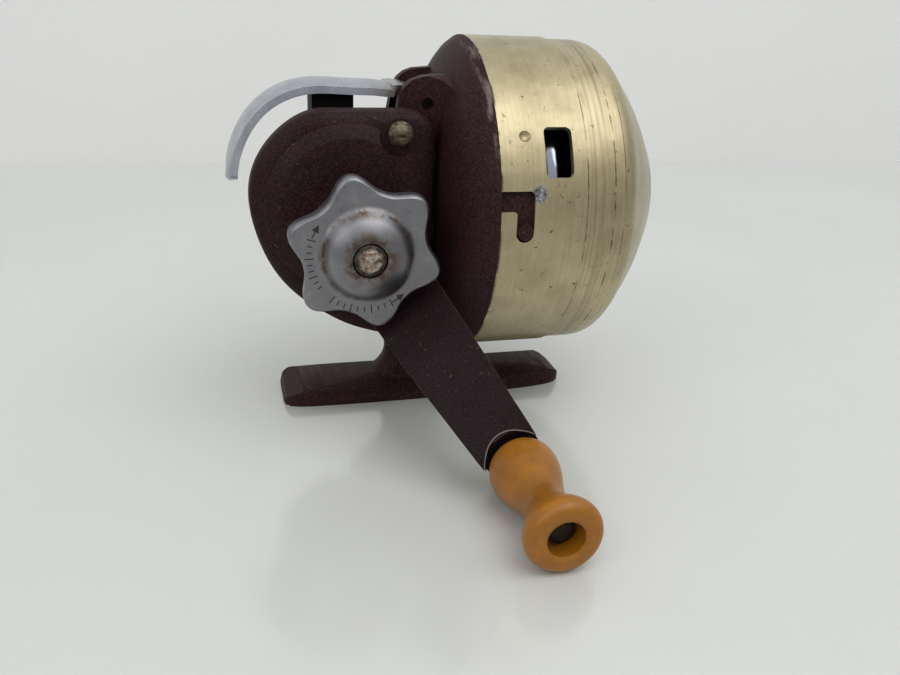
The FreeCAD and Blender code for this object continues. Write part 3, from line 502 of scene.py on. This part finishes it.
plug(tree, shader, specked.outputs[2], rough, scuff)
print("resin made for a knob", round((KNOB_IN - KNOB_OUT) / MM, 1), "mm long")

# %% [markdown]
# ## The small metals and plastics
# Screws are steel that has gone brown, rivets are blackened; gears and bushings are brass; the push block
# is black plastic. They share one recipe: a cloudy mix of two colours, a roughness range and a fine bump.
# The recipe is a function, and every finish names its own colours.

# %% Small part finishes
GRAIN = 0.3 * MM


def cloudy(name, dark, pale, metallic, rough_low, rough_high, cloud_mm, bump=0.2, **values):
    """A small part's finish: two colours in clouds, a range of roughness and a fine bump."""
    finish, tree, shader, place = new_finish(name, Metallic=metallic, **values)
    cloud = add(tree, "ShaderNodeTexNoise", {"Scale": 1 / (cloud_mm * MM), "Detail": 5.0, "Roughness": 0.7},
                {"Vector": place})
    tone = stops(add(tree, "ShaderNodeValToRGB", links={"Fac": cloud.outputs["Fac"]}),
                 (0.36, ink(dark)), (0.64, ink(pale)))
    rough = add(tree, "ShaderNodeMapRange", {3: rough_low, 4: rough_high}, {0: cloud.outputs["Fac"]})
    fine = add(tree, "ShaderNodeTexNoise", {"Scale": 1 / GRAIN, "Detail": 2.0}, {"Vector": place})
    skin = add(tree, "ShaderNodeBump", {"Strength": bump, "Distance": 0.04 * MM},
               {"Height": fine.outputs["Fac"]})
    plug(tree, shader, tone.outputs["Color"], rough, skin)
    return finish


small = {
    "rusty_steel": cloudy("browned_steel", "#3E352A", "#8A7F6C", 0.85, 0.34, 0.62, 1.0, 0.6),
    "steel": cloudy("bright_steel", "#8E8D8B", "#B7B7B8", 1.0, 0.24, 0.4, 2.0),
    "brass": cloudy("machined_brass", "#8E6F35", "#C09A52", 1.0, 0.28, 0.42, 2.5),
    "black_plastic": cloudy("black_moulded_plastic", "#0A0A0B", "#131315", 0.0, 0.5, 0.7, 3.0,
                            Specular_IOR_Level=0.15),
    "fibre": cloudy("pressed_fibre", "#4A3424", "#6A4C34", 0.0, 0.7, 0.9, 0.8),
    "line": cloudy("clear_nylon_line", "#B9C0BC", "#DADFDC", 0.0, 0.2, 0.35, 0.6),
    "cast_aluminium": cloudy("turned_aluminium", "#9B9A98", "#C6C6C7", 1.0, 0.3, 0.45, 3.0),
}
# the same dark finish goes on the lever pin as a painted shade for its dark pivot hole
dark_rivet = cloudy("blackened_rivet_and_pin_shade", "#1A1411", "#3A2E27", 0.7, 0.5, 0.7, 0.8)
print("small finishes:", len(small) + 1)

# %% [markdown]
# Two metals need more than the recipe. The crank shaft's end stands in the middle of the star: its flat tip
# is filed bright and lumpy, and the band round the tip is dark. The spinner shows through the cover's
# window: its flank is rolled to a slight crown, so what it mirrors shrinks to a tall narrow streak. The
# crown is a parabola along the reel axis, fed to a bump in real metres.

# %% Shaft end and spinner finishes
TIP_RADIUS = 1.9 * MM
BAND_RADIUS = 2.5 * MM
CROWN_AT = 19.3 * MM
CROWN_PER_METRE = -95.0

shaft_end, tree, shader, place = new_finish("filed_and_browned_shaft_end", Metallic=0.9)
away = from_axis(tree, place, (CRANK_X, 0.0, CRANK_Z), ROUND_CRANK)[1]
lumps = add(tree, "ShaderNodeTexNoise", {"Scale": 1 / (0.9 * MM), "Detail": 5.0, "Roughness": 0.75},
            {"Vector": place})
tip = stops(add(tree, "ShaderNodeValToRGB", links={"Fac": lumps.outputs["Fac"]}),
            (0.38, ink("#5B4A3C")), (0.52, ink("#A7988A")), (0.66, ink("#CFC6BC")))
band = stops(add(tree, "ShaderNodeValToRGB", links={"Fac": lumps.outputs["Fac"]}),
             (0.4, ink("#2C2723")), (0.64, ink("#5F5850")))
past = add(tree, "ShaderNodeMapRange", {1: TIP_RADIUS, 2: BAND_RADIUS}, {0: away})
both = add(tree, "ShaderNodeMix",
           links={0: past.outputs[0], 6: tip.outputs["Color"], 7: band.outputs["Color"]}, data_type="RGBA")
rough = add(tree, "ShaderNodeMapRange", {3: 0.34, 4: 0.6}, {0: lumps.outputs["Fac"]})
skin = add(tree, "ShaderNodeBump", {"Strength": 0.8, "Distance": 0.25 * MM}, {"Height": lumps.outputs["Fac"]})
plug(tree, shader, both.outputs[2], rough, skin)

spinner_metal, tree, shader, place = new_finish("polished_rolled_aluminium", Metallic=1.0, Roughness=0.13)
shader.inputs["Base Color"].default_value = ink("#A3A9B8")
split = add(tree, "ShaderNodeSeparateXYZ", links={0: place})
from_crest = add(tree, "ShaderNodeMath", {1: CROWN_AT}, {0: split.outputs["X"]}, operation="SUBTRACT")
square = add(tree, "ShaderNodeMath", links={0: from_crest.outputs[0], 1: from_crest.outputs[0]},
             operation="MULTIPLY")
crown = add(tree, "ShaderNodeMath", {1: CROWN_PER_METRE}, {0: square.outputs[0]}, operation="MULTIPLY")
rolled = add(tree, "ShaderNodeBump", {"Strength": 1.0, "Distance": 1.0}, {"Height": crown.outputs[0]})
tree.links.new(rolled.outputs[0], shader.inputs["Normal"])
small["rotor"] = spinner_metal
print("crown crest at", round(CROWN_AT / MM, 1), "mm along the reel axis")

# %% [markdown]
# ## Smooth skins over the machined shapes
# The frame's meshes are loose triangles. For each piece a copy is merged and freed of slivers, and edges
# sharper than a set angle stay sharp. The arm and the lever also get a narrow bevel, so that their edges
# catch light as every real edge does. The copy stands for the frame's own node.

# %% Skin function
slots = {part["node"]: part["material_slot"] for part in frame["record"]["subparts"]}
body_of_node = {n: b for b, group in frame["record"]["behaviour"]["bodies"].items() for n in group}
MERGE = 0.004 * MM
SLIVER = 0.002 * MM


def smooth_skin(node, finish, bevel_mm=0.0, sharp_degrees=30.0):
    """A smooth-shaded copy of one node, with its finish and its body."""
    made = bmesh.new()
    made.from_mesh(nodes[node].data)
    bmesh.ops.remove_doubles(made, verts=made.verts, dist=MERGE)
    bmesh.ops.dissolve_degenerate(made, dist=SLIVER, edges=made.edges)
    for f in made.faces:
        f.smooth = True
    for e in made.edges:
        if len(e.link_faces) == 2 and e.calc_face_angle(0.0) > math.radians(sharp_degrees):
            e.smooth = False
    mesh = bpy.data.meshes.new(node + "_skin")
    made.to_mesh(mesh)
    made.free()
    piece = bpy.data.objects.new(node + "_skin", mesh)
    bpy.context.collection.objects.link(piece)
    mesh.materials.append(finish)
    if bevel_mm:
        rounding = piece.modifiers.new("edge", "BEVEL")
        rounding.width = bevel_mm * MM
        rounding.segments = 2
        rounding.limit_method = "ANGLE"
        rounding.angle_limit = math.radians(sharp_degrees)
        rounding.harden_normals = False
        rounding.use_clamp_overlap = True
    even = piece.modifiers.new("even_shading", "WEIGHTED_NORMAL")
    even.keep_sharp = True
    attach(piece, body_of_node[node])
    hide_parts(node)
    return piece


print("slots:", sorted(set(slots.values())))

# %% [markdown]
# Now the function is used on every node. The arm's bevel is given the second material, so that its edge looks
# rubbed. Nodes without a finish of their own take the small finish of their slot.

# %% A skin for every node
arm_skin = smooth_skin("crank_arm", arm_enamel_painted_darker, 0.3, 40.0)
arm_skin.data.materials.append(worn_edge)
arm_skin.modifiers["edge"].material = 1
smooth_skin("thumb_lever", lever_metal, 0.35)
own_finish = {
    "body_casting": casting_enamel, "side_plate": plate_enamel_painted_darker, "front_cover": gold,
    "star_drag_wheel": star_metal, "crank_knob": amber, "crank_shaft": shaft_end,
    # the lever pin's dark finish is a painted shade for its dark pivot hole; the knob rivet is blackened
    "knob_rivet": dark_rivet, "lever_pin": dark_rivet,
}
for node in nodes:
    if node in own_finish:
        smooth_skin(node, own_finish[node])
    elif node not in ("crank_arm", "thumb_lever"):
        smooth_skin(node, small[slots[node]])
print("skins made:", len(nodes))

# %% [markdown]
# ## Marks on the star
# The star's face carries stamped marks that tell which way to turn it. Here they are plain: two arrowheads
# at the ends of two rows of short ticks. Each mark is a thin plate lying on the face, made from one flat
# face that is extruded by a few hundredths of a millimetre. All of them are one piece, which turns with the
# star.

# %% Stamped ticks and arrowheads
MARK_RADIUS_MM = 10.9
ARROW_RADIUS_MM = 10.8
FACE_Y = -28.6 * MM
MARK_DEPTH = 0.03 * MM

black_ink = cloudy("stamped_mark_paint", "#1D1A18", "#35302C", 0.0, 0.55, 0.8, 0.5)
marks = bmesh.new()


def flat_mark(outline_mm, degrees, radius_mm):
    """One flat mark: outline points are (across, outward) in mm, turned to its place on the face."""
    turn_by = math.radians(degrees)
    outward = Vector((math.cos(turn_by), 0, math.sin(turn_by)))
    across = Vector((-math.sin(turn_by), 0, math.cos(turn_by)))
    centre = Vector((CRANK_X, FACE_Y, CRANK_Z)) + outward * radius_mm * MM
    corners = [marks.verts.new(centre + across * a * MM + outward * o * MM) for a, o in outline_mm]
    flat_face = marks.faces.new(corners)
    flat_face.normal_update()
    raised = bmesh.ops.extrude_face_region(marks, geom=[flat_face])["geom"]
    bmesh.ops.translate(marks, vec=(0, -MARK_DEPTH, 0),
                        verts=[g for g in raised if isinstance(g, bmesh.types.BMVert)])


for start, stop, count in ((163, 214, 9), (232, 296, 10)):
    for k in range(count):
        tall = 0.85 if k % 3 == 0 else 0.5
        tick = [(-0.11, -tall), (0.11, -tall), (0.11, tall), (-0.11, tall)]
        flat_mark(tick, start + (stop - start) * k / (count - 1), MARK_RADIUS_MM)
for degrees, way in ((151, -1), (307, 1)):
    head = [(way * 1.0, 0.0), (-way * 0.5, 0.75), (-way * 0.5, -0.75)]
    tail = [(-way * 1.9, -0.12), (-way * 0.5, -0.12), (-way * 0.5, 0.12), (-way * 1.9, 0.12)]
    flat_mark(head, degrees, ARROW_RADIUS_MM)
    flat_mark(tail, degrees, ARROW_RADIUS_MM)
bmesh.ops.recalc_face_normals(marks, faces=marks.faces)
mark_mesh = bpy.data.meshes.new("star_marks")
marks.to_mesh(mark_mesh)
marks.free()
star_marks = bpy.data.objects.new("star_marks", mark_mesh)
bpy.context.collection.objects.link(star_marks)
mark_mesh.materials.append(black_ink)
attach(star_marks, "star")
print("marks on the star:", len(mark_mesh.polygons), "faces")

# %% [markdown]
# ## The table and the light
# The reel stands on a plain pale laminate that is a little glossy, in front of a plain pale wall. The light
# is a wide soft ceiling light and a weaker window to the left, with a dimmer room all round so that metal
# has something dark to mirror. Neither sheet is part of the reel.

# %% Table and wall
SHEET_HALF = 3.0
WALL_AT = (0.075, 0.260, 0.0)
WALL_TURN = math.radians(-1.78)

table_top, tree, shader, place = new_finish("pale_laminate", Roughness=0.28, Coat_Weight=1.0,
                                            Coat_Roughness=0.12, Coat_IOR=1.6)
cloud = add(tree, "ShaderNodeTexNoise", {"Scale": 9.0, "Detail": 4.0}, {"Vector": place})
tone = stops(add(tree, "ShaderNodeValToRGB", links={"Fac": cloud.outputs["Fac"]}),
             (0.3, ink("#CDCFCC")), (0.7, ink("#D3D5D2")))
tree.links.new(tone.outputs["Color"], shader.inputs["Base Color"])

wall_paint, tree, shader, place = new_finish("matt_wall_paint", Roughness=0.7)
cloud = add(tree, "ShaderNodeTexNoise", {"Scale": 5.0, "Detail": 4.0}, {"Vector": place})
tone = stops(add(tree, "ShaderNodeValToRGB", links={"Fac": cloud.outputs["Fac"]}),
             (0.3, ink("#EFF0EF")), (0.7, ink("#F3F4F3")))
tree.links.new(tone.outputs["Color"], shader.inputs["Base Color"])


def sheet_piece(name, finish, sheet):
    """One flat stage piece from a sheet."""
    mesh = bpy.data.meshes.new(name)
    sheet.to_mesh(mesh)
    mesh.materials.append(finish)
    piece = bpy.data.objects.new(name, mesh)
    bpy.context.collection.objects.link(piece)
    return piece


sheet = bmesh.new()
bmesh.ops.create_grid(sheet, x_segments=1, y_segments=1, size=SHEET_HALF)
floor = sheet_piece("table_top", table_top, sheet)
bmesh.ops.transform(sheet, matrix=Matrix.Rotation(math.pi / 2, 4, "X"), verts=sheet.verts)
bmesh.ops.transform(sheet, matrix=Matrix.Rotation(WALL_TURN, 4, "Z"), verts=sheet.verts)
bmesh.ops.transform(sheet, matrix=Matrix.Translation(WALL_AT), verts=sheet.verts)
wall = sheet_piece("wall", wall_paint, sheet)
sheet.free()
print("wall", round(WALL_AT[1] / MM), "mm behind the reel")

# %% [markdown]
# Two area lights give the soft highlights on the gold and on the star, and the sky's ramp from dark at the
# horizon to pale overhead gives metal its contrast. Power is in watts at the reel's real size, so it is
# small.

# %% Lights and room
def soft_light(name, place, aim, size, power):
    """A rectangular light that faces a point."""
    data = bpy.data.lights.new(name, "AREA")
    data.shape = "RECTANGLE"
    data.size, data.size_y = size
    data.energy = power
    lamp = bpy.data.objects.new(name, data)
    bpy.context.collection.objects.link(lamp)
    facing = (Vector(aim) - Vector(place)).to_track_quat("-Z", "Y").to_matrix().to_4x4()
    lamp.matrix_world = Matrix.Translation(place) @ facing
    return lamp


ceiling = soft_light("ceiling_light", (0.30, -0.38, 0.85), (0.0, 0.0, 0.03), (0.9, 0.7), 3.8)
window = soft_light("window_light", (-0.7, -0.5, 0.55), (0.0, 0.0, 0.04), (0.6, 0.6), 1.5)

world = bpy.data.worlds.new("room")
bpy.context.scene.world = world
world.use_nodes = True
tree = world.node_tree
direction = add(tree, "ShaderNodeTexCoord").outputs["Generated"]
rise = add(tree, "ShaderNodeSeparateXYZ", links={0: direction}).outputs["Z"]
sky = stops(add(tree, "ShaderNodeValToRGB", links={"Fac": rise}), (0.0, 0.32), (0.35, 0.55), (1.0, 0.95))
tree.links.new(sky.outputs["Color"], tree.nodes["Background"].inputs["Color"])
tree.nodes["Background"].inputs["Strength"].default_value = 0.95
print("lights:", ceiling.data.energy, "W above and", window.data.energy, "W from the left")
